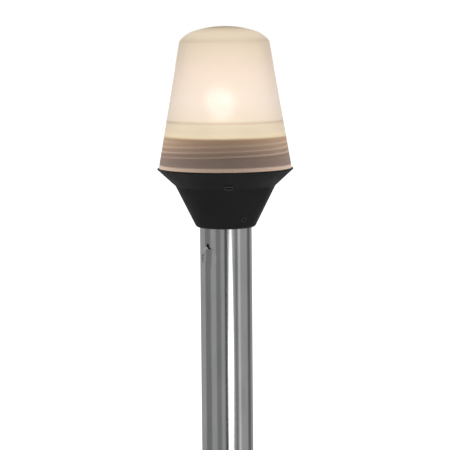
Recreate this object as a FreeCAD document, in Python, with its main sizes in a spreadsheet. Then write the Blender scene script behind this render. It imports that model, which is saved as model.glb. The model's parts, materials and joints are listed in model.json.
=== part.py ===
"""Plug-in all-round navigation light for a boat: a screw-on frosted globe over a bayonet lamp,
in a moulded collar on a staked aluminium pole whose lower end plugs into a deck socket.

Frame: origin at the centre of the pole's lower end face, +Z up the pole, millimetres.
The head's pieces are drawn from the plane of the collar's rim, the plug's from the pole's end."""
import FreeCAD
import Part
import Sketcher
import math
import os
import re
from FreeCAD import Vector

SIZES = (
    # whole light
    ("rim_height", 235.7),  # pole's lower end face up to the collar's rim plane
    ("running_gap", 0.3),  # room left round the globe's mouth as it turns
    ("slip_gap", 0.05),  # room left round a piece that is pushed into another
    # pole
    ("pole_diameter", 25.4),
    ("pole_wall", 1.25),
    ("stake_angle", 44.0),  # stakes' place, in degrees round from the front towards the left
    ("stake_drop", 37.5),  # rim plane down to the top of the upper stake
    ("stake_rise", 18.0),  # pole's lower end up to the top of the lower stake
    ("stake_radius", 5.8),  # round dent, seen square on
    ("stake_depth", 1.0),  # at the stake's top; the dent fades out downwards
    ("punch_share", 2.5),  # how far the punch's cone is drawn in, in stake depths
    ("pierce_width", 2.0),
    ("pierce_height", 3.1),
    ("catch_rise", 50.0),  # pole's lower end up to the rolled groove for the deck socket's catch
    ("catch_radius", 1.5),
    ("catch_depth", 0.45),
    # collar
    ("rim_overhang", 0.7),  # rim past the globe's wall
    ("rim_edge", 0.4),  # upright edge of the rim, under its top face
    ("flare_drop", 8.5),
    ("crease_radius", 24.45),
    ("collar_drop", 28.8),  # rim plane down to the collar's underside
    ("skirt_wall", 1.6),  # wall round the pole at the collar's underside
    ("skirt_fillet", 2.0),
    ("collar_wall", 2.8),
    ("well_drop", 20.0),  # rim plane down to the bottom of the well round the sleeve
    ("well_width", 1.0),  # width of that well at its bottom
    ("sleeve_wall", 2.5),
    ("floor_drop", 9.0),  # rim plane down to the seat of the lampholder's flange
    ("floor_thickness", 3.0),
    ("pilot_step", 2.3),  # pilot past the thread's crest
    ("pilot_height", 6.3),
    ("neck_height", 15.5),
    ("neck_wall", 2.5),
    # screw thread between the collar and the globe
    ("thread_core", 25.9),  # radius of the neck under the thread
    ("thread_depth", 1.1),
    ("thread_pitch", 2.5),  # from one ridge to the next; there are two starts
    ("thread_lead_in", 0.1),  # plain neck below the thread
    ("thread_lead_out", 1.6),  # plain neck above the thread
    ("thread_root", 1.5),  # width of the thread at its root
    ("thread_crest", 0.6),
    ("thread_gap", 0.4),
    ("mate_root", 1.1),  # width of the globe's thread at its root
    ("mate_crest", 0.4),
    ("mate_short", 1.0),  # how much less the globe's thread rises
    ("bite", 0.2),  # how far a thread's root is sunk into its wall
    # globe
    ("globe_height", 69.1),  # rim plane up to the top of the dome
    ("mouth_wall", 2.95),  # wall round the mouth at the rim plane
    ("globe_taper", 9.82),  # lean of the wall, in degrees
    ("shoulder_height", 61.7),
    ("shoulder_fillet", 1.5),
    ("dome_turn", 13.4),  # radius of the dome's side
    ("crown_inset", 6.9),  # from the shoulder in to where the dome's flat crown starts
    ("crown_drop", 2.4),
    ("globe_wall", 2.6),
    ("inner_drop", 1.0),  # inner shoulder below the outer one
    ("step_height", 22.8),
    ("neck_gap", 0.7),  # between the neck and the wall round it
    ("seal_thickness", 0.9),
    ("seal_sink", 0.6),  # how much of the seal lies in the collar's ledge
    ("seal_width", 1.9),
    # lampholder
    ("holder_flange_width", 1.8),  # flange past the pole
    ("holder_flange_height", 2.5),
    ("holder_boss_wall", 2.6),
    ("holder_boss_rise", 1.0),
    ("holder_drop", 50.0),
    ("wire_way_radius", 6.0),
    ("shell_wall", 0.6),
    ("shell_drop", 12.0),
    ("shell_rise", 9.4),
    ("lip_width", 0.9),
    ("lip_thickness", 0.5),
    ("base_thickness", 2.0),
    ("contact_offset", 3.3),  # each contact's distance from the axis
    ("terminal_stem_radius", 0.85),
    ("terminal_head_radius", 1.7),
    ("terminal_head_height", 0.4),
    ("terminal_tail", 3.0),  # terminal below the base
    ("spring_radius", 1.2),
    ("spring_wire", 0.4),
    ("spring_pitch", 0.85),
    ("carrier_thickness", 1.8),
    ("carrier_gap", 0.15),
    ("plunger_head_height", 0.6),
    ("plunger_head_radius", 1.6),
    ("plunger_stem_radius", 0.9),
    # lamp
    ("cap_radius", 7.5),
    ("cap_gap", 0.25),  # round the cap in the socket shell
    ("cap_wall", 0.3),
    ("cap_drop", 2.0),
    ("cap_rise", 14.5),
    ("cap_lip", 1.4),
    ("key_radius", 1.0),  # bayonet pins
    ("key_proud", 0.3),  # pins' ends past the socket shell
    ("key_rise", 4.4),
    ("key_gap", 0.15),
    ("key_travel", 1.5),
    ("key_turn", 20.0),  # degrees from the slot's notch to its way in
    ("way_in_gap", 0.4),
    ("button_radius", 1.5),
    ("button_height", 0.8),
    ("button_bevel", 0.6),
    ("cap_fill_height", 3.0),
    ("bulb_radius", 9.5),
    ("bulb_rise", 33.0),
    ("glass_gap", 0.2),  # cement between the cap and the glass
    ("bulb_wall", 0.8),
    ("bulb_foot_rise", 7.0),
    ("bulb_foot_height", 2.0),
    ("lead_radius", 0.3),
    ("lead_offset", 2.5),
    ("bead_rise", 24.0),
    ("bead_length", 2.4),
    ("bead_width", 7.0),
    ("coil_radius", 0.6),
    ("coil_wire", 0.24),
    ("coil_pitch", 0.5),
    ("coil_length", 4.2),
    # plug
    ("plug_flange_height", 2.5),
    ("plug_flange_inset", 0.3),
    ("plug_height", 28.0),
    ("plug_edge", 0.8),
    ("prong_offset", 4.75),
    ("prong_radius", 2.0),
    ("prong_length", 11.0),
    ("prong_tip", 0.8),
    ("prong_stem_radius", 1.25),
    ("prong_stem_height", 14.0),
    # internal wires
    ("wire_diameter", 2.2),
    ("wire_bend", 60.0),
    ("wire_bend_drop", 70.0),  # rim plane down to the middle of the wires' bend
)

document = FreeCAD.newDocument("NavigationLight")
sheet = document.addObject("Spreadsheet::Sheet", "Sizes")
for row, (size_name, number) in enumerate(SIZES, start=1):
    sheet.set(f"A{row}", size_name)
    sheet.set(f"B{row}", str(number))
    sheet.setAlias(f"B{row}", size_name)
document.recompute()

sub_parts = []


def bound(text):
    """Point every size's name in a formula at its cell in the sheet."""
    return re.sub(r"[a-z]+(?:_[a-z]+)+|\bbite\b", r"Sizes.\g<0>", text)


def value(text):
    """The number that a formula of size names comes to now."""
    return float(sheet.evalExpression(bound(text)))


def bind(item, **formulas):
    """Bind properties of an object to formulas of size names."""
    for name, formula in formulas.items():
        item.setExpression(name, bound(formula))
    return item


def place(item, x="0", y="0", z="0", turn="0"):
    """Bind an object's Placement: its base point, and its turn about Z in degrees."""
    item.setExpression("Placement.Base.x", bound(x))
    item.setExpression("Placement.Base.y", bound(y))
    item.setExpression("Placement.Base.z", bound(z))
    item.setExpression("Placement.Rotation.Angle", bound(turn))
    return item


def new_body(label):
    """An empty body that will be one sub-part, or the start of one."""
    body = document.addObject("PartDesign::Body", label.title().replace("_", ""))
    body.Label = label
    return body


def keep(item, label):
    """Put an object on the list of sub-parts under its file's name."""
    item.Label = label
    sub_parts.append(item)
    return item


def new_sketch(body, name, plane):
    """An empty sketch on one of its own body's origin planes."""
    sketch = body.newObject("Sketcher::SketchObject", name)
    origin_plane = next(item for item in body.Origin.OriginFeatures if item.Role == plane)
    sketch.AttachmentSupport = (origin_plane, [""])
    sketch.MapMode = "FlatFace"
    return sketch


def fix_point(sketch, side, end, across, up):
    """Hold one end of a side, or a circle's centre, at two formulas from the origin."""
    for kind, axis, text in (("DistanceX", -2, across), ("DistanceY", -1, up)):
        if text == "0":
            sketch.addConstraint(Sketcher.Constraint("PointOnObject", side, end, axis))
            continue
        limit = Sketcher.Constraint(kind, -1, 1, side, end, value(text))
        number = sketch.addConstraint(limit)
        sketch.setExpression(f"Constraints[{number}]", bound(text))


def fix_radius(sketch, side, text):
    """Hold an arc's or circle's radius at a formula."""
    number = sketch.addConstraint(Sketcher.Constraint("Radius", side, value(text)))
    sketch.setExpression(f"Constraints[{number}]", bound(text))


def add_side(sketch, start, end, radius):
    """Draw one side; a radius over 0 turns left on its way, one under 0 turns right.

    Returns the side's number and which of its ends are the start and the end."""
    if radius == 0:
        return sketch.addGeometry(Part.LineSegment(start, end)), 1, 2
    chord = end - start
    reach = math.sqrt(radius**2 - (chord.Length / 2) ** 2)
    left = Vector(-chord.y, chord.x, 0).normalize()
    centre = (start + end) / 2 + left * math.copysign(reach, radius)
    first, last = (start, end) if radius > 0 else (end, start)
    angles = [math.atan2(point.y - centre.y, point.x - centre.x) for point in (first, last)]
    circle = Part.Circle(centre, Vector(0, 0, 1), abs(radius))
    side = sketch.addGeometry(Part.ArcOfCircle(circle, *angles))
    return (side, 1, 2) if radius > 0 else (side, 2, 1)


def outline(body, name, corners, plane="XZ_Plane", closed=True):
    """A sketch through corners of (across, up) or (across, up, radius of the next side, turn)."""
    sketch = new_sketch(body, name, plane)
    spots = [Vector(value(corner[0]), value(corner[1]), 0) for corner in corners]
    following = spots[1:] + spots[:1]
    sides = []
    for corner, start, end in list(zip(corners, spots, following))[: None if closed else -1]:
        radius = value(corner[2]) * corner[3] if len(corner) > 2 else 0
        sides.append(add_side(sketch, start, end, radius))
    joints = list(zip(sides, sides[1:] + sides[:1]))
    for (side, _, last), (other, first, _) in joints[: None if closed else -1]:
        sketch.addConstraint(Sketcher.Constraint("Coincident", side, last, other, first))
    for corner, (side, first, _) in zip(corners, sides):
        fix_point(sketch, side, first, corner[0], corner[1])
        if len(corner) > 2:
            fix_radius(sketch, side, corner[2])
    if not closed:
        fix_point(sketch, sides[-1][0], sides[-1][2], corners[-1][0], corners[-1][1])
    return sketch


def circles(body, name, rounds, plane="XY_Plane"):
    """A sketch of circles, each (across, up, radius)."""
    sketch = new_sketch(body, name, plane)
    for across, up, radius in rounds:
        centre = Vector(value(across), value(up), 0)
        circle = Part.Circle(centre, Vector(0, 0, 1), value(radius))
        side = sketch.addGeometry(circle)
        fix_point(sketch, side, 3, across, up)
        fix_radius(sketch, side, radius)
    return sketch


def turned(body, name, corners):
    """Add an outline turned a full circle about Z."""
    sketch = outline(body, name + "Outline", corners)
    feature = body.newObject("PartDesign::Revolution", name)
    feature.Profile = sketch
    feature.ReferenceAxis = (sketch, ["V_Axis"])
    feature.Angle = 360
    return feature


def grooved(body, name, corners):
    """Cut an outline turned a full circle about Z."""
    sketch = outline(body, name + "Outline", corners)
    feature = body.newObject("PartDesign::Groove", name)
    feature.Profile = sketch
    feature.ReferenceAxis = (sketch, ["V_Axis"])
    feature.Angle = 360
    return feature


def twice_round(body, name, feature):
    """Repeat a body's last feature half a turn round Z."""
    document.recompute()
    pattern = body.newObject("PartDesign::PolarPattern", name)
    pattern.Originals = [feature]
    pattern.Axis = (feature.Profile[0], ["V_Axis"])
    pattern.Angle = 360
    pattern.Occurrences = 2
    body.Tip = pattern


def screw_ridges(body, name, corners, rise):
    """Wind an outline up the two starts of a right-hand screw about Z."""
    sketch = outline(body, name + "Outline", corners)
    feature = body.newObject("PartDesign::AdditiveHelix", name)
    feature.Profile = sketch
    feature.ReferenceAxis = (sketch, ["V_Axis"])
    feature.Mode = "pitch-height-angle"
    bind(feature, Pitch="2 * thread_pitch", Height=rise)
    twice_round(body, name + "Starts", feature)


def drilled(body, name, rounds):
    """Cut circles straight through the body both ways from the XY plane."""
    feature = body.newObject("PartDesign::Pocket", name)
    feature.Profile = circles(body, name + "Outline", rounds)
    feature.Type = "ThroughAll"
    feature.Midplane = True
    return feature


def rounded(body, name, radius, is_edge):
    """Fillet the edges of the body's last feature that a test picks."""
    document.recompute()
    base = body.Tip
    picked = [f"Edge{number}" for number, edge in enumerate(base.Shape.Edges, 1) if is_edge(edge)]
    feature = body.newObject("PartDesign::Fillet", name)
    feature.Base = (base, picked)
    return bind(feature, Radius=radius)


def ring_at(radius, height):
    """A test for the circular edge of a radius at a height on the axis."""
    def is_edge(edge):
        if edge.Degenerated or not isinstance(edge.Curve, Part.Circle):
            return False
        curve = edge.Curve
        off = abs(curve.Radius - value(radius)) + abs(curve.Center.z - value(height))
        return off < 1e-4
    return is_edge


def primitive(kind, name, **formulas):
    """A Part primitive with its properties bound to formulas."""
    return bind(document.addObject(f"Part::{kind}", name), **formulas)


def boolean(kind, name, base, tool):
    """A Part boolean of two objects."""
    feature = document.addObject(f"Part::{kind}", name)
    feature.Base = base
    feature.Tool = tool
    return feature


# radii that several pieces share
POLE_INSIDE = "(pole_diameter / 2 - pole_wall)"
PILOT_RADIUS = "(thread_core + thread_depth + pilot_step)"
MOUTH_RADIUS = f"({PILOT_RADIUS} + running_gap)"
GLOBE_RADIUS = f"({MOUTH_RADIUS} + mouth_wall)"  # cone of the globe, carried down to the rim plane
SEAL_INSIDE = f"({MOUTH_RADIUS} + running_gap)"
SHELL_INSIDE = "(cap_radius + cap_gap)"
SHELL_RADIUS = f"({SHELL_INSIDE} + shell_wall)"

# the screw thread's lowest turn and how far its middle climbs
THREAD_START = "(pilot_height + thread_lead_in + thread_root / 2)"
THREAD_RISE = "(neck_height - pilot_height - thread_root - thread_lead_in - thread_lead_out)"

# the two stakes that hold the pole: height of each one's top, named for its objects
STAKES = {"Upper": "rim_height - stake_drop", "Lower": "stake_rise"}

# heights above the rim plane that several pieces share
SEAL_TOP = "(seal_thickness - seal_sink)"
BASE_TOP = "(lip_thickness - shell_drop + base_thickness)"
TERMINAL_FOOT = "(lip_thickness - shell_drop - terminal_tail)"
CARRIER_TOP = "(-cap_drop - button_height - slip_gap - plunger_head_height)"
CARRIER_FOOT = f"({CARRIER_TOP} - carrier_thickness)"


def tipped(item, angle):
    """Tip an object about the level line that touches the pole at the stakes."""
    item.setExpression("Placement.Rotation.Axis.x", bound("cos(stake_angle)"))
    item.setExpression("Placement.Rotation.Axis.y", bound("-sin(stake_angle)"))
    item.setExpression("Placement.Rotation.Axis.z", "0")
    item.setExpression("Placement.Rotation.Angle", bound(angle))


def at_stake(item, reach, height, angle):
    """Stand an object out from the axis towards the stakes, then tip it."""
    place(item, x=f"-({reach}) * sin(stake_angle)", y=f"-({reach}) * cos(stake_angle)", z=height)
    tipped(item, angle)


def punch(name, top, thickness):
    """The punch at a stake: a cone, cut off at a skin like the pole's that leans in upwards.

    A thickness of metal moves the skin in and lets the cone go deeper."""
    radius = "(pole_diameter / 2)"
    deep = "(punch_share * stake_depth)"
    cone = primitive("Cone", name + "Cone", Radius1=f"stake_radius - {deep}",
                     Radius2="stake_radius + stake_depth", Height=f"{deep} + {thickness} + stake_depth")
    at_stake(cone, f"{radius} - {deep} - {thickness}", f"{top} - stake_radius", "90")
    lean = "atan(stake_depth / (2 * stake_radius))"
    below = "(4 * stake_radius)"
    skin = primitive("Cylinder", name + "Skin", Radius=f"{radius} - {thickness}", Height=f"2 * {below}")
    reach = f"{radius} * (1 - cos({lean})) + {below} * sin({lean})"
    height = f"{top} - 2 * stake_radius - {radius} * sin({lean}) - {below} * cos({lean})"
    at_stake(skin, reach, height, f"-{lean}")
    return boolean("Cut", name, cone, skin)


def pole_tube():
    """Aluminium tube from the plug's flange to the collar's floor, with its two stakes."""
    length = "rim_height - floor_drop - floor_thickness"
    rod = primitive("Cylinder", "PoleRod", Radius="pole_diameter / 2", Height=length)
    bore = primitive("Cylinder", "PoleBore", Radius=POLE_INSIDE, Height=length)
    tube = boolean("Cut", "PoleWall", rod, bore)
    for stake, height in STAKES.items():
        bulge = punch(stake + "Bulge", height, "pole_wall")
        pushed_in = boolean("Common", stake + "PushedIn", rod, bulge)
        joined = boolean("Fuse", stake + "Joined", tube, pushed_in)
        tube = boolean("Cut", stake + "Dimpled", joined, punch(stake + "Punch", height, "0"))
    sizes = {"Radius1": "pierce_height / 2", "Radius2": "pierce_width / 2", "Radius3": "4 * pole_wall"}
    hole = primitive("Ellipsoid", "Pierce", **sizes)
    radius = "pole_diameter / 2 - stake_depth"
    x = f"-({radius}) * sin(stake_angle)"
    y = f"-({radius}) * cos(stake_angle)"
    place(hole, x=x, y=y, z=STAKES["Upper"], turn="-stake_angle")
    ring = "pole_diameter / 2 + catch_radius - catch_depth"
    groove = place(primitive("Torus", "CatchRing", Radius1=ring, Radius2="catch_radius"), z="catch_rise")
    pierced = boolean("Cut", "Pierced", tube, hole)
    keep(boolean("Cut", "Pole", pierced, groove), "pole_tube")


def dented(body, label, stake):
    """Dent a piece inside the pole where a stake bears on it."""
    dent = punch(stake + "Dent", STAKES[stake], "pole_wall + slip_gap")
    body.Label = label + "_blank"
    keep(boolean("Cut", stake + "Dented", body, dent), label)


def collar_housing():
    """Black moulding: flared skirt, pole sleeve, cup for the lampholder, threaded neck."""
    body = new_body("collar_housing")
    place(body, z="rim_height")
    neck_inside = "thread_core - neck_wall"
    sleeve = "pole_diameter / 2 + slip_gap"
    skirt = f"{sleeve} + skirt_wall"
    rim = f"{GLOBE_RADIUS} + rim_overhang"
    ledge = f"{SEAL_INSIDE} + seal_width + slip_gap"
    turned(body, "CollarShell", [
        (sleeve, "-collar_drop"),
        (skirt, "-collar_drop"),
        ("crease_radius", "-flare_drop"),
        (rim, "-rim_edge"),
        (rim, "0"),
        (ledge, "0"),
        (ledge, "-seal_sink"),
        (PILOT_RADIUS, "-seal_sink"),
        (PILOT_RADIUS, "pilot_height"),
        ("thread_core", "pilot_height"),
        ("thread_core", "neck_height"),
        (neck_inside, "neck_height"),
        ("crease_radius - collar_wall", "-floor_drop"),
        (f"{sleeve} + sleeve_wall + well_width", "-well_drop"),
        (f"{sleeve} + sleeve_wall", "-well_drop"),
        (f"{sleeve} + sleeve_wall", "-floor_drop"),
        (POLE_INSIDE, "-floor_drop"),
        (POLE_INSIDE, "-floor_drop - floor_thickness"),
        (sleeve, "-floor_drop - floor_thickness"),
    ])
    inner = "thread_core - bite"
    crest = "thread_core + thread_depth"
    screw_ridges(body, "CollarThread", [
        (inner, f"{THREAD_START} - thread_root / 2"),
        (crest, f"{THREAD_START} - thread_crest / 2"),
        (crest, f"{THREAD_START} + thread_crest / 2"),
        (inner, f"{THREAD_START} + thread_root / 2"),
    ], THREAD_RISE)
    rounded(body, "SkirtCorner", "skirt_fillet", ring_at(skirt, "-collar_drop"))
    keep(body, "collar_housing")


def globe_lens():
    """Frosted globe: tapered wall, flattened dome and a female thread in its mouth."""
    body = new_body("globe_lens")
    place(body, z="rim_height")
    slope = "tan(globe_taper)"
    shoulder = f"({GLOBE_RADIUS} - {slope} * shoulder_height)"
    crown = f"({shoulder} - crown_inset)"
    crown_turn = f"({crown}^2 + crown_drop^2) / (2 * crown_drop)"
    crown_lean = f"asin({crown} / ({crown_turn}))"
    inner_line = f"{GLOBE_RADIUS} - globe_wall"
    inner_shoulder = "(shoulder_height - inner_drop)"
    relief = "thread_core + neck_gap"
    bore = "thread_core + thread_depth + thread_gap"
    thread_top = f"{THREAD_START} + {THREAD_RISE} + thread_root / 2 + running_gap"
    turned(body, "GlobeWall", [
        (MOUTH_RADIUS, SEAL_TOP),
        (f"{GLOBE_RADIUS} - {slope} * {SEAL_TOP}", SEAL_TOP),
        (shoulder, "shoulder_height", "dome_turn", 1),
        (crown, "globe_height - crown_drop", crown_turn, 1),
        ("0", "globe_height"),
        ("0", "globe_height - globe_wall", f"{crown_turn} - globe_wall", -1),
        (f"{crown} - globe_wall * sin({crown_lean})",
         f"globe_height - crown_drop - globe_wall * cos({crown_lean})", "dome_turn - globe_wall", -1),
        (f"{inner_line} - {slope} * {inner_shoulder}", inner_shoulder),
        (f"{inner_line} - {slope} * step_height", "step_height"),
        (relief, "step_height"),
        (relief, thread_top),
        (bore, thread_top),
        (bore, "pilot_height + running_gap"),
        (MOUTH_RADIUS, "pilot_height + running_gap"),
    ])
    root = f"{bore} + bite"
    crest = f"{bore} - thread_depth"
    start = f"{THREAD_START} + thread_pitch / 2"
    screw_ridges(body, "GlobeThread", [
        (root, f"{start} - mate_root / 2"),
        (root, f"{start} + mate_root / 2"),
        (crest, f"{start} + mate_crest / 2"),
        (crest, f"{start} - mate_crest / 2"),
    ], f"{THREAD_RISE} - mate_short")
    rounded(body, "Shoulder", "shoulder_fillet", ring_at(shoulder, "shoulder_height"))
    keep(body, "globe_lens")


def lens_seal():
    """Flat rubber ring, let into the collar's ledge, that the globe's mouth presses on."""
    body = new_body("lens_seal")
    place(body, z="rim_height")
    turned(body, "SealRing", [
        (SEAL_INSIDE, "-seal_sink"),
        (f"{SEAL_INSIDE} + seal_width", "-seal_sink"),
        (f"{SEAL_INSIDE} + seal_width", SEAL_TOP),
        (SEAL_INSIDE, SEAL_TOP),
    ])
    keep(body, "lens_seal")


def lampholder_insert():
    """Moulded insert staked in the pole; its flange clamps the collar to the pole's end."""
    body = new_body("lampholder_insert")
    place(body, z="rim_height")
    inside = f"{POLE_INSIDE} - slip_gap"
    flange = "pole_diameter / 2 + holder_flange_width"
    shell_way = f"{SHELL_RADIUS} + slip_gap"
    boss = f"{shell_way} + holder_boss_wall"
    turned(body, "HolderShape", [
        ("wire_way_radius", "-holder_drop"),
        (inside, "-holder_drop"),
        (inside, "-floor_drop"),
        (flange, "-floor_drop"),
        (flange, "holder_flange_height - floor_drop"),
        (boss, "holder_flange_height - floor_drop"),
        (boss, "holder_boss_rise"),
        (shell_way, "holder_boss_rise"),
        (shell_way, "-shell_drop"),
        ("wire_way_radius", "-shell_drop"),
    ])
    dented(body, "lampholder_insert", "Upper")


def plug_body():
    """Nylon plug staked in the pole's lower end, drilled for the two prongs and their wires."""
    body = new_body("plug_body")
    flange = "pole_diameter / 2 - plug_flange_inset"
    inside = f"{POLE_INSIDE} - slip_gap"
    turned(body, "PlugShape", [
        ("0", "-plug_flange_height"),
        (f"{flange} - plug_edge", "-plug_flange_height"),
        (flange, "plug_edge - plug_flange_height"),
        (flange, "0"),
        (inside, "0"),
        (inside, "plug_height"),
        ("0", "plug_height"),
    ])
    radius = "prong_stem_radius + slip_gap"
    drilled(body, "ProngWays", [("0", "prong_offset", radius), ("0", "-prong_offset", radius)])
    dented(body, "plug_body", "Lower")


def socket_shell():
    """Nickelled brass socket with two J-slots for the lamp's bayonet pins."""
    body = new_body("socket_shell")
    place(body, z="rim_height")
    lip = f"{SHELL_INSIDE} - lip_width"
    turned(body, "ShellTube", [
        (lip, "-shell_drop"),
        (SHELL_RADIUS, "-shell_drop"),
        (SHELL_RADIUS, "shell_rise"),
        (SHELL_INSIDE, "shell_rise"),
        (SHELL_INSIDE, "lip_thickness - shell_drop"),
        (lip, "lip_thickness - shell_drop"),
    ])
    half = "(key_radius + key_gap)"
    way_in = f"({SHELL_RADIUS} * sin(key_turn))"
    slope = f"(key_travel / {way_in})"
    roof = f"key_rise + {half} * sqrt(1 + {slope}^2)"
    turn_in = f"{way_in} - {half} - way_in_gap"
    sketch = outline(body, "SlotOutline", [
        (f"-{half}", f"key_rise - key_travel - {half}"),
        (f"{way_in} + {half} + way_in_gap", f"key_rise - key_travel - {half}"),
        (f"{way_in} + {half} + way_in_gap", "shell_rise + key_radius"),
        (turn_in, "shell_rise + key_radius"),
        (turn_in, f"{roof} - {slope} * ({turn_in})"),
        ("0", roof),
        (f"-{half}", roof),
    ], plane="YZ_Plane")
    slot = body.newObject("PartDesign::Pocket", "Slot")
    slot.Profile = sketch
    slot.Type = "Length"
    slot.Reversed = True
    bind(slot, Length=f"2 * {SHELL_RADIUS}")
    twice_round(body, "BothSlots", slot)
    keep(body, "socket_shell")


def socket_base():
    """Insulating disc on the shell's lip that carries the two terminals."""
    body = new_body("socket_base")
    place(body, z="rim_height")
    radius = f"{SHELL_INSIDE} - slip_gap"
    foot = "lip_thickness - shell_drop"
    turned(body, "BaseDisc", [
        ("0", foot),
        (radius, foot),
        (radius, BASE_TOP),
        ("0", BASE_TOP),
    ])
    way = "terminal_stem_radius + slip_gap"
    drilled(body, "TerminalWays", [("0", "contact_offset", way), ("0", "-contact_offset", way)])
    keep(body, "socket_base")


def contact_carrier():
    """Insulating disc, sprung upwards, that holds the two plungers against the lamp."""
    body = new_body("contact_carrier")
    place(body, z="rim_height")
    radius = f"{SHELL_INSIDE} - carrier_gap"
    turned(body, "CarrierDisc", [
        ("0", CARRIER_FOOT),
        (radius, CARRIER_FOOT),
        (radius, CARRIER_TOP),
        ("0", CARRIER_TOP),
    ])
    way = "plunger_stem_radius + slip_gap"
    drilled(body, "PlungerWays", [("0", "contact_offset", way), ("0", "-contact_offset", way)])
    keep(body, "contact_carrier")


def bulb_cap():
    """Brass bayonet cap of the lamp, open at the top for the glass, with two side pins."""
    body = new_body("bulb_cap")
    place(body, z="rim_height")
    inside = "cap_radius - cap_wall"
    turned(body, "CapBlank", [
        ("0", "-cap_drop"),
        ("cap_radius", "-cap_drop"),
        ("cap_radius", "cap_rise"),
        ("0", "cap_rise"),
    ])
    keys = body.newObject("PartDesign::Pad", "Keys")
    keys.Profile = circles(body, "KeysOutline", [("0", "key_rise", "key_radius")], plane="YZ_Plane")
    keys.Midplane = True
    bind(keys, Length=f"2 * ({SHELL_RADIUS} + key_proud)")
    grooved(body, "CapInside", [
        ("0", "-cap_drop"),
        (f"{inside} - cap_lip", "-cap_drop"),
        (f"{inside} - cap_lip", "cap_wall - cap_drop"),
        (inside, "cap_wall - cap_drop"),
        (inside, "cap_rise"),
        ("0", "cap_rise"),
    ])
    keep(body, "bulb_cap")


def bulb_insulator():
    """Black glass filling in the cap's lower end, round the two contact buttons."""
    body = new_body("bulb_insulator")
    place(body, z="rim_height")
    inside = "cap_radius - cap_wall"
    turned(body, "FillShape", [
        ("0", "-cap_drop"),
        (f"{inside} - cap_lip", "-cap_drop"),
        (f"{inside} - cap_lip", "cap_wall - cap_drop"),
        (inside, "cap_wall - cap_drop"),
        (inside, "cap_fill_height - cap_drop"),
        ("0", "cap_fill_height - cap_drop"),
    ])
    keep(body, "bulb_insulator")


def bulb_glass():
    """Hollow glass envelope: round bulb on a straight neck, closed at its foot."""
    body = new_body("bulb_glass")
    place(body, z="rim_height")
    neck = "(cap_radius - cap_wall - glass_gap)"
    inner_neck = f"({neck} - bulb_wall)"
    inner_bulb = "(bulb_radius - bulb_wall)"
    turned(body, "GlassWall", [
        ("0", "bulb_foot_rise"),
        (neck, "bulb_foot_rise"),
        (neck, f"bulb_rise - sqrt(bulb_radius^2 - {neck}^2)", "bulb_radius", 1),
        ("bulb_radius", "bulb_rise", "bulb_radius", 1),
        ("0", "bulb_rise + bulb_radius"),
        ("0", f"bulb_rise + {inner_bulb}", inner_bulb, -1),
        (inner_bulb, "bulb_rise", inner_bulb, -1),
        (inner_neck, f"bulb_rise - sqrt({inner_bulb}^2 - {inner_neck}^2)"),
        (inner_neck, "bulb_foot_rise + bulb_foot_height"),
        ("0", "bulb_foot_rise + bulb_foot_height"),
    ])
    keep(body, "bulb_glass")


def filament_bead():
    """Glass bead that spaces the two leads below the filament."""
    bar = primitive("Box", "BeadBar", Length="bead_length", Width="bead_width", Height="bead_length")
    height = "rim_height + bead_rise"
    place(bar, x="-bead_length / 2", y="-bead_width / 2", z=height)
    way = {side: primitive("Cylinder", side + "LeadWay", Radius="lead_radius", Height="bead_length")
           for side in ("Left", "Right")}
    place(way["Left"], y="lead_offset", z=height)
    place(way["Right"], y="-lead_offset", z=height)
    one_drilled = boolean("Cut", "BeadOneWay", bar, way["Left"])
    keep(boolean("Cut", "Bead", one_drilled, way["Right"]), "filament_bead")


def filament():
    """Coiled filament laid across between the tops of the two leads."""
    body = new_body("bulb_filament")
    across = "coil_radius - coil_wire / 2"
    sketch = circles(body, "CoilWire", [(across, "0", "coil_wire / 2")], plane="XZ_Plane")
    coil = body.newObject("PartDesign::AdditiveHelix", "Coil")
    coil.Profile = sketch
    coil.ReferenceAxis = (sketch, ["V_Axis"])
    coil.Mode = "pitch-height-angle"
    bind(coil, Pitch="coil_pitch", Height="coil_length")
    body.Placement.Rotation = FreeCAD.Rotation(Vector(1, 0, 0), -90)
    body.setExpression("Placement.Base.y", bound("-coil_length / 2"))
    body.setExpression("Placement.Base.z", bound("rim_height + bulb_rise"))
    keep(body, "bulb_filament")


def pin_piece(label, offset, corners):
    """A small turned piece that stands to one side of the axis."""
    body = new_body(label)
    place(body, y=offset, z="rim_height")
    turned(body, label.title().replace("_", "") + "Shape", corners)
    return keep(body, label)


def contact_spring(label, offset):
    """Coil spring between a terminal's head and the carrier."""
    body = new_body(label)
    name = label.title().replace("_", "")
    foot = f"{BASE_TOP} + terminal_head_height + spring_wire / 2 + slip_gap"
    head = f"{CARRIER_FOOT} - spring_wire / 2 - slip_gap"
    sketch = circles(body, name + "Wire", [("spring_radius", foot, "spring_wire / 2")], plane="XZ_Plane")
    coil = body.newObject("PartDesign::AdditiveHelix", name + "Coil")
    coil.Profile = sketch
    coil.ReferenceAxis = (sketch, ["V_Axis"])
    coil.Mode = "pitch-height-angle"
    bind(coil, Pitch="spring_pitch", Height=f"{head} - ({foot})")
    place(body, y=offset, z="rim_height")
    keep(body, label)


def prong(label, offset):
    """Brass plug prong, its stem pressed into the plug and soldered to a wire."""
    body = new_body(label)
    place(body, y=offset)
    tip = "-plug_flange_height - prong_length"
    turned(body, label.title().replace("_", "") + "Shape", [
        ("0", tip),
        ("prong_radius - prong_tip", tip),
        ("prong_radius", f"{tip} + prong_tip"),
        ("prong_radius", "-plug_flange_height"),
        ("prong_stem_radius", "-plug_flange_height"),
        ("prong_stem_radius", "prong_stem_height"),
        ("0", "prong_stem_height"),
    ])
    keep(body, label)


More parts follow.
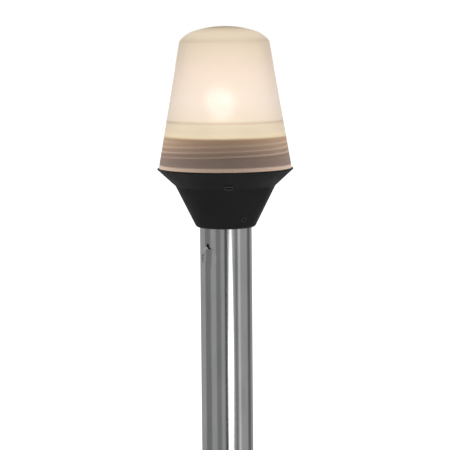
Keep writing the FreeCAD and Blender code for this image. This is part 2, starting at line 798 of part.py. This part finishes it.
def wire(label, sign):
    """Insulated wire inside the pole: straight off the terminal, one slow S, straight to the prong."""
    body = new_body(label)
    name = label.title().replace("_", "")
    top = f"rim_height + {TERMINAL_FOOT}"
    middle = "rim_height - wire_bend_drop"
    apart = "(prong_offset - contact_offset)"
    half = f"sqrt(wire_bend * {apart} - {apart}^2 / 4)"
    spine = outline(body, name + "Route", [
        (f"{sign}contact_offset", top),
        (f"{sign}contact_offset", f"{middle} + {half}", "wire_bend", 1 if sign else -1),
        (f"{sign}(prong_offset + contact_offset) / 2", middle, "wire_bend", -1 if sign else 1),
        (f"{sign}prong_offset", f"{middle} - {half}"),
        (f"{sign}prong_offset", "prong_stem_height"),
    ], plane="YZ_Plane", closed=False)
    section = circles(body, name + "Section", [("0", f"{sign}contact_offset", "wire_diameter / 2")])
    section.setExpression("AttachmentOffset.Base.z", bound(top))
    pipe = body.newObject("PartDesign::AdditivePipe", name + "Pipe")
    pipe.Profile = section
    pipe.Spine = spine
    keep(body, label)


def pairs():
    """The pieces that stand one on each side of the axis, for the two poles of the circuit."""
    head_top = f"{BASE_TOP} + terminal_head_height"
    plunger_top = f"{CARRIER_TOP} + plunger_head_height"
    for side, sign in (("positive", ""), ("negative", "-")):
        contact = f"{sign}contact_offset"
        pin_piece(f"terminal_{side}", contact, [
            ("0", TERMINAL_FOOT),
            ("terminal_stem_radius", TERMINAL_FOOT),
            ("terminal_stem_radius", BASE_TOP),
            ("terminal_head_radius", BASE_TOP),
            ("terminal_head_radius", head_top),
            ("0", head_top),
        ])
        pin_piece(f"contact_plunger_{side}", contact, [
            ("0", CARRIER_FOOT),
            ("plunger_stem_radius", CARRIER_FOOT),
            ("plunger_stem_radius", CARRIER_TOP),
            ("plunger_head_radius", CARRIER_TOP),
            ("plunger_head_radius", plunger_top),
            ("0", plunger_top),
        ])
        pin_piece(f"bulb_contact_{side}", contact, [
            ("0", "-cap_drop - button_height"),
            ("button_radius - button_bevel", "-cap_drop - button_height"),
            ("button_radius", "-cap_drop"),
            ("0", "-cap_drop"),
        ])
        pin_piece(f"filament_lead_{side}", f"{sign}lead_offset", [
            ("0", "bulb_foot_rise + bulb_foot_height"),
            ("lead_radius", "bulb_foot_rise + bulb_foot_height"),
            ("lead_radius", "bulb_rise"),
            ("0", "bulb_rise"),
        ])
        contact_spring(f"contact_spring_{side}", contact)
        prong(f"plug_prong_{side}", f"{sign}prong_offset")
        wire(f"wire_{side}", sign)


def check_and_export():
    """Stop on any failed object or bad shape, then write one file for each sub-part."""
    document.recompute()
    for item in document.Objects:
        if "Invalid" in item.State or "Error" in item.State:
            raise RuntimeError(f"{item.Label} did not compute: {item.State}")
    for item in sub_parts:
        shape = item.Shape
        if shape.isNull() or not shape.isValid() or len(shape.Solids) != 1:
            raise RuntimeError(f"{item.Label} is not one sound solid")
    os.makedirs("parts", exist_ok=True)
    for item in sub_parts:
        item.Shape.exportStep(f"parts/{item.Label}.step")
        print(f"{item.Label}: {item.Shape.Volume:.1f} mm3")


pole_tube()
collar_housing()
globe_lens()
lens_seal()
lampholder_insert()
socket_shell()
socket_base()
contact_carrier()
bulb_cap()
bulb_insulator()
bulb_glass()
filament_bead()
filament()
plug_body()
pairs()
check_and_export()
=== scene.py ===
"""Plug-in all-round navigation light: materials, small mouldings, studio and camera round the CAD frame."""
import bmesh
import bpy
import json
import math
from mathutils import Matrix, Vector

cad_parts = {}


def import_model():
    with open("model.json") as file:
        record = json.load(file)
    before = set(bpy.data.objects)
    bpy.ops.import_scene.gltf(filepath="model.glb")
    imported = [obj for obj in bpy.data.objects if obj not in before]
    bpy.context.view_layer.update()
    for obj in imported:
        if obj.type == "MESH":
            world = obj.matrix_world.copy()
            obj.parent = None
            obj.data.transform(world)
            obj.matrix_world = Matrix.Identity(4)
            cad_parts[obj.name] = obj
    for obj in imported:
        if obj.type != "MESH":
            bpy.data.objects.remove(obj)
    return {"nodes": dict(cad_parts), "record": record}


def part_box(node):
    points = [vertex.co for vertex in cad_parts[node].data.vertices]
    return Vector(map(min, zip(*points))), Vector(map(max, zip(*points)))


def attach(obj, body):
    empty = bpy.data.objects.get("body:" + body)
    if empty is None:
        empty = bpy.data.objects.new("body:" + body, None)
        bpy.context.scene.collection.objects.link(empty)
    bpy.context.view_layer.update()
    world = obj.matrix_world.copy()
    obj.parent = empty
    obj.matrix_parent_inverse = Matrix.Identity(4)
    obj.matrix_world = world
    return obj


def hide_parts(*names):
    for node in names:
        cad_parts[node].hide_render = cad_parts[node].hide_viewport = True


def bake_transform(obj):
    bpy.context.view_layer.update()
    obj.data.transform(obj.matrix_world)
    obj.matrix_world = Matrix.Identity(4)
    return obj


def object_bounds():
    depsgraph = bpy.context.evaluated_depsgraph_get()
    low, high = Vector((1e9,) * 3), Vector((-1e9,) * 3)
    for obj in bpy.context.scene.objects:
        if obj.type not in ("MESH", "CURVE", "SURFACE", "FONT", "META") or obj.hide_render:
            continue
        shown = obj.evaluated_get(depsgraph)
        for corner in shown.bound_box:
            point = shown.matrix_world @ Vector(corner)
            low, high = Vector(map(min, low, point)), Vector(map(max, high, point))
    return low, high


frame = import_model()
cad_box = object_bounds()

# places and sizes read from the frame, in metres
COLLAR_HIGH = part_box("collar_housing")[1]
GLOBE_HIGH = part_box("globe_lens")[1]
BULB_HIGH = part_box("bulb_glass")[1]
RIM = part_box("lens_seal")[0].z  # foot of the rubber ring, 0.6 mm under the collar's rim plane
RIM_RADIUS = COLLAR_HIGH.x
APEX = GLOBE_HIGH.z
MM = 0.001

# ---------------------------------------------------------------- camera
CAMERA_DISTANCE = 0.95
CAMERA_PITCH = math.radians(6.15)
CAMERA_ROLL = math.radians(-0.5)
CAMERA_LENS = 155.0
CAMERA_AIM = Vector((-0.0004, 0.0, RIM - 0.0274))


def camera():
    """Long lens from the front, a little above the collar, leaning slightly."""
    data = bpy.data.cameras.new("camera")
    data.lens = CAMERA_LENS
    data.sensor_width = 36.0
    data.clip_start = 0.01
    data.clip_end = 50.0
    item = bpy.data.objects.new("camera", data)
    back = Vector((0.0, -math.cos(CAMERA_PITCH), math.sin(CAMERA_PITCH)))
    turn = back.to_track_quat("Z", "Y").to_matrix() @ Matrix.Rotation(CAMERA_ROLL, 3, "Z")
    item.matrix_world = Matrix.Translation(CAMERA_AIM + back * CAMERA_DISTANCE) @ turn.to_4x4()
    bpy.context.scene.collection.objects.link(item)
    bpy.context.scene.camera = item


# ---------------------------------------------------------------- node materials
class Look:
    """A node material under construction."""

    def __init__(self, name):
        self.material = bpy.data.materials.new(name)
        self.material.use_nodes = True
        self.tree = self.material.node_tree
        self.tree.nodes.clear()
        self.output = self.tree.nodes.new("ShaderNodeOutputMaterial")
        self.place = self.add("ShaderNodeTexCoord").outputs["Object"]

    def add(self, kind, sockets=None, **settings):
        """A node with its settings, and its sockets set to values or joined to other sockets."""
        node = self.tree.nodes.new(kind)
        for name, value in settings.items():
            setattr(node, name, value)
        for name, value in (sockets or {}).items():
            if isinstance(value, bpy.types.NodeSocket):
                self.tree.links.new(value, node.inputs[name])
            else:
                node.inputs[name].default_value = value
        return node

    def maths(self, operation, *values):
        """One sum on sockets or numbers."""
        return self.add("ShaderNodeMath", dict(enumerate(values)), operation=operation).outputs[0]

    def noise(self, scale, detail=3.0, stretch=None):
        """Noise by place in the object; stretch scales the three axes."""
        where = self.place
        if stretch:
            where = self.add("ShaderNodeMapping", {"Vector": where, "Scale": stretch}).outputs[0]
        sockets = {"Vector": where, "Scale": scale, "Detail": detail}
        return self.add("ShaderNodeTexNoise", sockets).outputs["Fac"]

    def spread(self, value, low, high, source=(0.0, 1.0), kind="LINEAR"):
        """Map a value from one range to another."""
        sockets = {"Value": value, "To Min": low, "To Max": high}
        sockets.update({"From Min": source[0], "From Max": source[1]})
        return self.add("ShaderNodeMapRange", sockets, interpolation_type=kind).outputs[0]

    def ramp(self, value, stops):
        """Colours by value, each stop a place and a colour."""
        node = self.add("ShaderNodeValToRGB", {"Fac": value})
        node.color_ramp.interpolation = "LINEAR"
        elements = node.color_ramp.elements
        while len(elements) < len(stops):
            elements.new(0.5)
        for element, (spot, colour) in zip(elements, stops):
            element.position = spot
            element.color = (*colour, 1.0)
        return node.outputs["Color"]

    def colours(self, share, first, second):
        """One colour mixed into another by a share."""
        sockets = {"Factor": share, 6: first, 7: second}
        return self.add("ShaderNodeMix", sockets, data_type="RGBA").outputs[2]

    def shaders(self, share, first, second):
        """One shader mixed into another by a share."""
        return self.add("ShaderNodeMixShader", {"Fac": share, 1: first, 2: second}).outputs[0]

    def bump(self, height, distance):
        """Raised detail, of a height from 0 to 1, by a distance in metres."""
        sockets = {"Height": height, "Distance": distance, "Strength": 1.0}
        return self.add("ShaderNodeBump", sockets).outputs[0]

    def finish(self, shader):
        """Join the shader to the output and give the material back."""
        self.tree.links.new(shader, self.output.inputs["Surface"])
        return self.material


def tint(colour, share):
    """A colour made darker or lighter by a share."""
    return tuple(min(1.0, channel * share) for channel in colour)


def moulded(name, colour, roughness, grain=2600.0, depth=0.00002, mottle=0.12, gloss=0.5):
    """Moulded plastic: fine spark-eroded grain, slight mottling and scuffed gloss."""
    look = Look(name)
    cloud = look.noise(55.0, 4.0)
    fine = look.noise(grain, 2.0)
    base = look.ramp(cloud, [(0.3, tint(colour, 1 - mottle)), (0.7, tint(colour, 1 + mottle))])
    rough = look.spread(look.noise(140.0, 5.0), roughness - 0.06, roughness + 0.08, (0.3, 0.7))
    sockets = {"Base Color": base, "Roughness": rough, "Normal": look.bump(fine, depth)}
    sockets["Specular IOR Level"] = gloss
    return look.finish(look.add("ShaderNodeBsdfPrincipled", sockets).outputs[0])


DRAWN_DEPTH = 0.005 * MM  # of the lines that drawing or turning leaves on metal


def metal(name, colour, roughness, stretch=(1.0, 1.0, 0.03), grain=900.0, stain=0.1):
    """Bare metal: drawing lines by stretched noise, slight staining."""
    look = Look(name)
    cloud = look.noise(90.0, 4.0)
    lines = look.noise(grain, 3.0, stretch)
    base = look.ramp(cloud, [(0.3, tint(colour, 1 - stain)), (0.7, colour)])
    rough = look.spread(lines, roughness * 0.7, roughness * 1.3, (0.3, 0.7))
    normal = look.bump(lines, DRAWN_DEPTH)
    sockets = {"Base Color": base, "Roughness": rough, "Metallic": 1.0, "Normal": normal}
    return look.finish(look.add("ShaderNodeBsdfPrincipled", sockets).outputs[0])


# heights on the globe over RIM, in millimetres, and the colour painted on its wall there, painted glow and
# shade standing in for the bulb's light: its lip, the wall round the neck (painted shade), the line over the
# neck's top (painted highlight), the step in the wall, the plain wall (painted glow), shoulder and crown
GLOBE_PAINTED_BANDS = (
    (0.9, (1.0, 0.76, 0.60)),
    (2.2, (1.0, 0.74, 0.58)),
    (2.9, (0.40, 0.29, 0.24)),
    (7.0, (0.38, 0.27, 0.22)),
    (10.0, (0.50, 0.34, 0.25)),
    (14.0, (0.66, 0.44, 0.30)),
    (16.0, (0.66, 0.44, 0.28)),
    (17.0, (1.0, 0.84, 0.56)),
    (18.5, (1.0, 0.84, 0.60)),
    (19.5, (0.92, 0.77, 0.57)),
    (22.7, (0.92, 0.77, 0.57)),
    (23.4, (0.75, 0.61, 0.45)),
    (24.0, (0.75, 0.61, 0.45)),
    (24.8, (0.95, 0.80, 0.65)),
    (34.0, (0.98, 0.83, 0.71)),
    (46.0, (0.95, 0.79, 0.66)),
    (53.0, (0.88, 0.73, 0.59)),
    (60.0, (0.81, 0.68, 0.53)),
    (61.6, (0.80, 0.67, 0.52)),
    (62.8, (0.72, 0.60, 0.45)),
    (64.6, (0.86, 0.73, 0.55)),
    (66.5, (0.90, 0.76, 0.57)),
    (68.2, (0.80, 0.65, 0.47)),
    (69.1, (0.54, 0.42, 0.29)),
)
# painted glow: the globe is no lamp, its emission stands in for the bulb's light through the wall
GLOBE_PAINTED_GLOW = 0.42  # how much the lit wall gives off, as a share of its colour
GLOBE_BLUR = 0.42
GLOBE_LEAN = math.tan(math.radians(9.82))
GLOBE_WALL = 2.6 * MM
WALL_MIDDLE = (0.4 * GLOBE_WALL, 0.6 * GLOBE_WALL)  # depths between which the outer skin's look gives way
CROWN_RADIUS = 15.0 * MM  # of the dome's flat part
CROWN_FALL = 0.0107 / MM  # the dome falls by this times the radius squared, 2.4 mm over its flat part
SHOULDER_FALL = 0.048 / MM  # and faster past it
THREAD_LEAD = 5.0 * MM  # two starts
THREAD_FRONT = 12.9 * MM  # height of a ridge at the front
THREAD_FOOT = (5.5 * MM, 8.5 * MM)  # heights between which the ridges begin to show
THREAD_TOP = (13.6 * MM, 15.4 * MM)  # and fade out
# the ridges' lighter colour is a painted highlight
RIDGE_HIGHLIGHT_SHARE = 0.6  # how much of its own colour a ridge shows
NECK_TOP = (15.5 * MM, 17.0 * MM)  # heights between which the wall clears the neck
CLEAR_ABOVE = 0.3  # how clear the frosted wall is above the neck, and round it
CLEAR_BELOW = 0.75
CLEAR_INSIDE = 0.85  # its smooth inner face


def globe_places(look):
    """Height over RIM, angle about the axis, and depth under the globe's outer skin, as sockets."""
    parts = look.add("ShaderNodeSeparateXYZ", {"Vector": look.place})
    x, y = parts.outputs["X"], parts.outputs["Y"]
    height = look.maths("SUBTRACT", parts.outputs["Z"], RIM)
    squares = look.maths("ADD", look.maths("MULTIPLY", x, x), look.maths("MULTIPLY", y, y))
    radius = look.maths("SQRT", squares)
    angle = look.maths("ARCTAN2", y, x)
    wall = look.maths("MULTIPLY_ADD", height, -GLOBE_LEAN, GLOBE_HIGH.x)
    in_wall = look.maths("SUBTRACT", wall, radius)
    crown = look.maths("MULTIPLY", look.maths("MULTIPLY", radius, radius), CROWN_FALL)
    past = look.maths("MAXIMUM", look.maths("SUBTRACT", radius, CROWN_RADIUS), 0.0)
    turn = look.maths("MULTIPLY", look.maths("MULTIPLY", past, past), SHOULDER_FALL)
    dome = look.maths("SUBTRACT", APEX - RIM, look.maths("ADD", crown, turn))
    in_dome = look.maths("SUBTRACT", dome, height)
    return height, angle, look.maths("MINIMUM", in_wall, in_dome)


def thread_highlights(look, height, angle):
    """Where a ridge of the neck's two-start thread shows through as a painted highlight, 0 to 1."""
    climbed = look.maths("DIVIDE", look.maths("SUBTRACT", height, THREAD_FRONT), THREAD_LEAD / 2)
    turned = look.maths("ADD", look.maths("DIVIDE", angle, math.pi), 0.5)
    phase = look.maths("FRACT", look.maths("ADD", look.maths("SUBTRACT", climbed, turned), 0.5))
    off = look.maths("ABSOLUTE", look.maths("SUBTRACT", phase, 0.5))
    ridge = look.spread(off, 1.0, 0.0, (0.0, 0.3), "SMOOTHSTEP")
    low = look.spread(height, 0.0, 1.0, THREAD_FOOT, "SMOOTHSTEP")
    high = look.spread(height, 1.0, 0.0, THREAD_TOP, "SMOOTHSTEP")
    return look.maths("MULTIPLY", ridge, look.maths("MULTIPLY", low, high))


def frosted_globe():
    """Frosted moulding lit from inside, clear enough to show the lamp and the threaded neck as blurs; its
    colour and glow by height are painted light and shade.
    """
    look = Look("frosted_globe")
    height, angle, depth = globe_places(look)
    wobble = look.spread(look.noise(60.0, 2.0), -0.2 * MM, 0.2 * MM)
    share = look.maths("DIVIDE", look.maths("ADD", height, wobble), APEX - RIM)
    full = (APEX - RIM) / MM
    # painted glow and shade by height, standing in for the bulb's light and the neck's shade
    glow = look.ramp(share, [(level / full, colour) for level, colour in GLOBE_PAINTED_BANDS])
    # painted highlight colour for the thread's ridges, where they catch the light
    light = look.ramp(share, [(0.0, (0.95, 0.70, 0.54)), (0.3, (1.0, 0.80, 0.60))])
    ridges = look.maths("MULTIPLY", thread_highlights(look, height, angle), RIDGE_HIGHLIGHT_SHARE)
    colour = look.colours(ridges, glow, light)
    normal = look.bump(look.noise(1800.0, 3.0), 0.00001)
    # the painted colour is both the base colour and a painted glow
    painted = look.add("ShaderNodeBsdfPrincipled", {
        "Base Color": colour,
        "Roughness": look.spread(look.noise(120.0, 4.0), 0.38, 0.5, (0.3, 0.7)),
        "IOR": 1.45,
        "Emission Color": colour,
        "Emission Strength": GLOBE_PAINTED_GLOW,
        "Normal": normal,
    })
    blur = {"Color": (0.95, 0.95, 0.93, 1.0), "Roughness": GLOBE_BLUR, "IOR": 1.3, "Normal": normal}
    through = look.add("ShaderNodeBsdfRefraction", blur)
    facing = look.add("ShaderNodeLayerWeight", {"Blend": 0.5}).outputs["Facing"]
    square_on = look.maths("SUBTRACT", 1.0, facing)
    clear = look.spread(height, CLEAR_BELOW, CLEAR_ABOVE, NECK_TOP)
    skin = look.maths("MULTIPLY", clear, square_on)
    inside = look.spread(depth, 0.0, 1.0, WALL_MIDDLE)
    clearness = look.add("ShaderNodeMix", {"Factor": inside, "A": skin, "B": CLEAR_INSIDE}).outputs[0]
    return look.finish(look.shaders(clearness, painted.outputs[0], through.outputs[0]))


def aluminium_pole():
    """Bright drawn tube: fine lines along it, faint handling marks."""
    look = Look("pole_aluminium")
    lines = look.noise(1500.0, 4.0, (1.0, 1.0, 0.01))
    marks = look.noise(160.0, 5.0, (1.0, 1.0, 0.3))
    base = look.ramp(marks, [(0.35, (0.80, 0.81, 0.82)), (0.65, (0.90, 0.90, 0.905))])
    rough = look.spread(lines, 0.10, 0.17, (0.35, 0.65))
    normal = look.bump(lines, 0.0000015)
    sockets = {"Base Color": base, "Roughness": rough, "Metallic": 1.0, "Normal": normal}
    return look.finish(look.add("ShaderNodeBsdfPrincipled", sockets).outputs[0])


# a painted hot spot and a faint painted glow on the lamp's glass, standing in for the filament's light in it
HOT_SPOT = 10.0 * MM  # radius of the brightest part of the lamp's glass
HOT_SPOT_LEFT = 3.0 * MM  # its middle, left of the bulb's
HOT_SPOT_DOWN = 1.5 * MM  # and under it
LAMP_GLOW = (0.04, 0.17)  # the glass's own brightness, and what the hot spot adds


def lamp_glass():
    """Lamp glass with faint swirls, with a faint painted glow and a painted hot spot in front of and behind
    its filament.
    """
    look = Look("lamp_glass")
    parts = look.add("ShaderNodeSeparateXYZ", {"Vector": look.place})
    across = look.maths("ADD", parts.outputs["X"], HOT_SPOT_LEFT)
    up = look.maths("SUBTRACT", parts.outputs["Z"], BULB_HIGH.z - BULB_HIGH.x - HOT_SPOT_DOWN)
    squares = look.maths("ADD", look.maths("MULTIPLY", across, across), look.maths("MULTIPLY", up, up))
    off = look.maths("SQRT", squares)
    spot = look.spread(off, 1.0, 0.0, (0.6 * HOT_SPOT, HOT_SPOT), "SMOOTHSTEP")
    # painted glow: the faint even glow plus the painted hot spot
    heat = look.maths("MULTIPLY_ADD", spot, LAMP_GLOW[1], LAMP_GLOW[0])
    return look.finish(look.add("ShaderNodeBsdfPrincipled", {
        "Base Color": (1.0, 0.97, 0.92, 1.0),
        "Roughness": look.spread(look.noise(120.0, 2.0), 0.02, 0.08),
        "Transmission Weight": 1.0,
        "IOR": 1.45,
        "Emission Color": (0.95, 0.97, 1.0, 1.0),
        "Emission Strength": heat,
    }).outputs[0])


def glowing_wire():
    """White-hot coiled tungsten."""
    look = Look("filament_metal")
    heat = look.noise(900.0, 2.0)
    colour = look.ramp(heat, [(0.3, (1.0, 0.84, 0.66)), (0.7, (1.0, 0.93, 0.84))])
    sockets = {"Base Color": (0.4, 0.36, 0.3, 1.0), "Metallic": 1.0, "Roughness": 0.5}
    sockets.update({"Emission Color": colour, "Emission Strength": 7.0})
    return look.finish(look.add("ShaderNodeBsdfPrincipled", sockets).outputs[0])


def node_materials():
    """One look for each material slot of the record."""
    return {
        "frosted_globe": frosted_globe(),
        "collar_black": moulded("collar_black", (0.014, 0.014, 0.0145), 0.45, gloss=0.25),
        "seal_rubber": moulded("seal_rubber", (0.008, 0.008, 0.008), 0.62, 1500.0, 0.00002),
        "pole_aluminium": aluminium_pole(),
        "holder_plastic": moulded("holder_plastic", (0.012, 0.012, 0.013), 0.45),
        "socket_nickel": metal("socket_nickel", (0.68, 0.66, 0.62), 0.22, (1.0, 1.0, 0.2)),
        "insulator_fibre": moulded("insulator_fibre", (0.20, 0.10, 0.05), 0.5, 1200.0, 0.00001, 0.25),
        "contact_brass": metal("contact_brass", (0.78, 0.58, 0.27), 0.25, (1.0, 1.0, 0.4)),
        "spring_steel": metal("spring_steel", (0.60, 0.60, 0.61), 0.2, (1.0, 1.0, 1.0)),
        "lamp_cap": metal("lamp_cap", (0.80, 0.62, 0.33), 0.2, (0.4, 0.4, 1.0)),
        "lamp_fill": moulded("lamp_fill", (0.012, 0.012, 0.016), 0.15, 700.0, 0.00001),
        "lamp_solder": metal("lamp_solder", (0.62, 0.62, 0.63), 0.35, (1.0, 1.0, 1.0)),
        "lamp_glass": lamp_glass(),
        "filament_metal": glowing_wire(),
        "plug_nylon": moulded("plug_nylon", (0.014, 0.014, 0.015), 0.38),
        "wire_red": moulded("wire_red", (0.42, 0.015, 0.012), 0.4, 1500.0, 0.00001),
        "wire_black": moulded("wire_black", (0.012, 0.012, 0.012), 0.4, 1500.0, 0.00001),
    }


def dress_frame(looks):
    """Give every CAD node the look of its slot."""
    for entry in frame["record"]["subparts"]:
        item = frame["nodes"][entry["node"]]
        item.data.materials.clear()
        item.data.materials.append(looks[entry["material_slot"]])


# ---------------------------------------------------------------- small mouldings on the collar
# edges of the collar's cones: radius, and height over its rim plane. cone_spot counts the heights from RIM,
# so the marks stand 0.6 mm lower than these say, and a little off the cones
RIM_EDGE = (RIM_RADIUS, -0.4 * MM)
CREASE = (24.45 * MM, -8.5 * MM)
SKIRT_EDGE = (14.35 * MM, -28.8 * MM)
# a mark's line in section: share of its width, and share of its height, from its outer to its inner foot
MARK_SECTION = ((0.0, -0.2), (0.25, 1.0), (0.75, 1.0), (1.0, -0.2))
MARK_HEIGHT = 0.14 * MM
MARK_STEPS = 32


def cone_spot(lower, upper, angle, level, out):
    """A point at a distance out from the cone of two rings, by angle right of the front and by height."""
    share = (level - lower[1]) / (upper[1] - lower[1])
    run, rise = upper[0] - lower[0], upper[1] - lower[1]
    size = math.hypot(run, rise)
    radius = lower[0] + share * run + out * rise / size
    return Vector((radius * math.sin(angle), -radius * math.cos(angle), RIM + level - out * run / size))


def raised_frame(name, lower, upper, spot, halves, line, squareness, look):
    """A low moulded frame: half its width and height, its line's width, and its squareness, 2 if round."""
    angle, level = spot
    mesh = bpy.data.meshes.new(name)
    form = bmesh.new()
    loops = []
    for inset, out in MARK_SECTION:
        loop = []
        for step in range(MARK_STEPS):
            turn = 2 * math.pi * step / MARK_STEPS
            across, up = math.cos(turn), math.sin(turn)
            size = (abs(across) ** squareness + abs(up) ** squareness) ** (1 / squareness)
            across *= (halves[0] - inset * line) / size
            up *= (halves[1] - inset * line) / size
            around = math.radians(angle) + across / lower[0]
            loop.append(form.verts.new(cone_spot(lower, upper, around, level + up, out * MARK_HEIGHT)))
        loops.append(loop)
    for outer, inner in zip(loops, loops[1:]):
        for step in range(MARK_STEPS):
            after = (step + 1) % MARK_STEPS
            form.faces.new((outer[step], outer[after], inner[after], inner[step]))
    form.to_mesh(mesh)
    form.free()
    mesh.materials.append(look)
    item = bpy.data.objects.new(name, mesh)
    bpy.context.scene.collection.objects.link(item)
    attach(item, "light")


def squeezed_springs():
    """Copies of the contact springs, set in place of the CAD springs, which are hidden."""
    for side in ("positive", "negative"):
        node = bpy.data.objects["contact_spring_" + side]
        coil = bpy.data.objects.new("squeezed_spring_" + side, node.data.copy())
        coil.matrix_world = node.matrix_world.copy()
        bpy.context.scene.collection.objects.link(coil)
        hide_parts(node.name)
        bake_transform(coil)


def collar_marks(look):
    """A plain moulded oblong over the collar's crease and a plain ring low on its skirt."""
    oblong = {"spot": (3.4, -7.3 * MM), "halves": (1.9 * MM, 1.0 * MM), "line": 0.5 * MM, "squareness": 8}
    ring = {"spot": (30.5, -23.3 * MM), "halves": (1.25 * MM, 1.25 * MM), "line": 0.45 * MM, "squareness": 2}
    raised_frame("crease_mark", CREASE, RIM_EDGE, look=look, **oblong)
    raised_frame("skirt_mark", SKIRT_EDGE, CREASE, look=look, **ring)


# ---------------------------------------------------------------- studio
SKY_LIGHT = 0.35
FRONT_POWER = 8.7
FRONT_WIDTH = 1.2
FRONT_AWAY = Vector((0.0, -1.5, 0.45))  # from the camera's aim
TENT_RADIUS = 1.6
TENT_FOOT = -1.0
TENT_TOP = 2.0
TENT_STEPS = 180
TENT_WALL = 0.3
TENT_SOFT = 5  # degrees over which a piece fades into the wall
# dark gaps and a pale strip in the wall: middle in degrees right of the camera, half its width, brightness
TENT_PIECES = ((-90, 15, 0.17), (-35, 8, 0.18), (0, 5, 0.07), (45, 3, 0.16), (60, 2, 0.55), (120, 10, 0.12))
CARD_LEVEL = 1.6
CARD_MIDDLE = math.radians(20)  # bright card right of the camera: its middle at the origin's height
CARD_HALF = math.radians(15)
CARD_SOFT = math.radians(4)
CARD_HEIGHT = -0.17  # where it is widest
CARD_REACH = 0.24  # and how far over and under that it ends
CARD_LEAN = 0.25  # radians a metre: the card's middle goes left further down
FLOOR_GAP = 0.2 * MM  # between the prongs' tips and the floor
FLOOR_HALF = 12.0


def tent_look():
    """The tent's glow, by direction round the light."""
    look = Look("tent")
    parts = look.add("ShaderNodeSeparateXYZ", {"Vector": look.place})
    back = look.maths("MULTIPLY", parts.outputs["Y"], -1.0)
    angle = look.maths("ARCTAN2", parts.outputs["X"], back)
    share = look.maths("ADD", look.maths("DIVIDE", angle, 2 * math.pi), 0.5)
    levels = [(-180, TENT_WALL), (180, TENT_WALL)]
    for middle, half, level in TENT_PIECES:
        levels += [(middle - half - TENT_SOFT, TENT_WALL), (middle - half, level)]
        levels += [(middle + half, level), (middle + half + TENT_SOFT, TENT_WALL)]
    glow = look.ramp(share, [((angle_at + 180) / 360, (level,) * 3) for angle_at, level in sorted(levels)])
    rise = look.maths("DIVIDE", look.maths("SUBTRACT", parts.outputs["Z"], CARD_HEIGHT), CARD_REACH)
    half = look.maths("MULTIPLY_ADD", look.maths("MULTIPLY", rise, rise), -CARD_HALF, CARD_HALF)
    middle = look.maths("MULTIPLY_ADD", parts.outputs["Z"], CARD_LEAN, CARD_MIDDLE)
    off = look.maths("ABSOLUTE", look.maths("SUBTRACT", angle, middle))
    card = look.spread(look.maths("SUBTRACT", half, off), 0.0, CARD_LEVEL, (0.0, CARD_SOFT))
    base = look.add("ShaderNodeEmission", {"Color": glow, "Strength": 1.0}).outputs[0]
    bright = look.add("ShaderNodeEmission", {"Strength": card}).outputs[0]
    return look.finish(look.add("ShaderNodeAddShader", {0: base, 1: bright}).outputs[0])


def tent():
    """A round wall of light about the light, which the camera doesn't see."""
    mesh = bpy.data.meshes.new("tent")
    form = bmesh.new()
    rings = []
    for level in (TENT_FOOT, TENT_TOP):
        ring = []
        for step in range(TENT_STEPS):
            angle = 2 * math.pi * step / TENT_STEPS
            x, y = TENT_RADIUS * math.cos(angle), TENT_RADIUS * math.sin(angle)
            ring.append(form.verts.new((x, y, level)))
        rings.append(ring)
    for step in range(TENT_STEPS):
        after = (step + 1) % TENT_STEPS
        form.faces.new((rings[0][step], rings[0][after], rings[1][after], rings[1][step]))
    form.to_mesh(mesh)
    form.free()
    item = bpy.data.objects.new("tent", mesh)
    item.data.materials.append(tent_look())
    item.visible_camera = False
    item.visible_shadow = False
    item.visible_diffuse = False
    item.visible_transmission = False
    bpy.context.scene.collection.objects.link(item)


def front_light():
    """A broad soft lamp over the camera, for the matt pieces only."""
    data = bpy.data.lights.new("front_light", "AREA")
    data.energy = FRONT_POWER
    data.size = FRONT_WIDTH
    item = bpy.data.objects.new("front_light", data)
    turn = FRONT_AWAY.to_track_quat("Z", "Y").to_matrix().to_4x4()
    item.matrix_world = Matrix.Translation(CAMERA_AIM + FRONT_AWAY) @ turn
    item.visible_glossy = False
    item.visible_transmission = False
    bpy.context.scene.collection.objects.link(item)


def floor():
    """A plain pale floor under the prongs."""
    look = Look("floor")
    grain = look.noise(30.0, 3.0)
    base = look.ramp(grain, [(0.3, (0.93, 0.93, 0.93)), (0.7, (0.95, 0.95, 0.95))])
    sockets = {"Base Color": base, "Roughness": 0.8}
    sockets.update({"Emission Color": (1.0, 1.0, 1.0, 1.0), "Emission Strength": 0.9})
    material = look.finish(look.add("ShaderNodeBsdfPrincipled", sockets).outputs[0])
    mesh = bpy.data.meshes.new("floor")
    form = bmesh.new()
    bmesh.ops.create_grid(form, x_segments=8, y_segments=8, size=FLOOR_HALF)
    form.to_mesh(mesh)
    form.free()
    item = bpy.data.objects.new("floor", mesh)
    item.location.z = cad_box[0][2] - FLOOR_GAP
    item.data.materials.append(material)
    item.visible_glossy = False
    item.visible_diffuse = False
    bpy.context.scene.collection.objects.link(item)


def world():
    """White all round for the camera, soft from above for the object."""
    data = bpy.data.worlds.new("world")
    data.use_nodes = True
    tree = data.node_tree
    sky = tree.nodes["Background"]
    sky.inputs["Color"].default_value = (1.0, 1.0, 1.0, 1.0)
    path = tree.nodes.new("ShaderNodeLightPath")
    seen = tree.nodes.new("ShaderNodeMath")
    seen.operation = "MAXIMUM"
    tree.links.new(path.outputs["Is Camera Ray"], seen.inputs[0])
    tree.links.new(path.outputs["Is Transmission Ray"], seen.inputs[1])
    level = tree.nodes.new("ShaderNodeMapRange")
    level.inputs["To Min"].default_value = SKY_LIGHT
    tree.links.new(seen.outputs[0], level.inputs["Value"])
    tree.links.new(level.outputs[0], sky.inputs["Strength"])
    bpy.context.scene.world = data


def studio():
    """Camera, tent, lamp, floor, world and view."""
    camera()
    tent()
    front_light()
    floor()
    world()
    bpy.context.scene.view_settings.view_transform = "Standard"


studio()
dress_frame(node_materials())
squeezed_springs()
# the marks' lighter grey is a painted highlight
collar_marks(moulded("collar_mark_highlight", (0.04, 0.04, 0.042), 0.35))
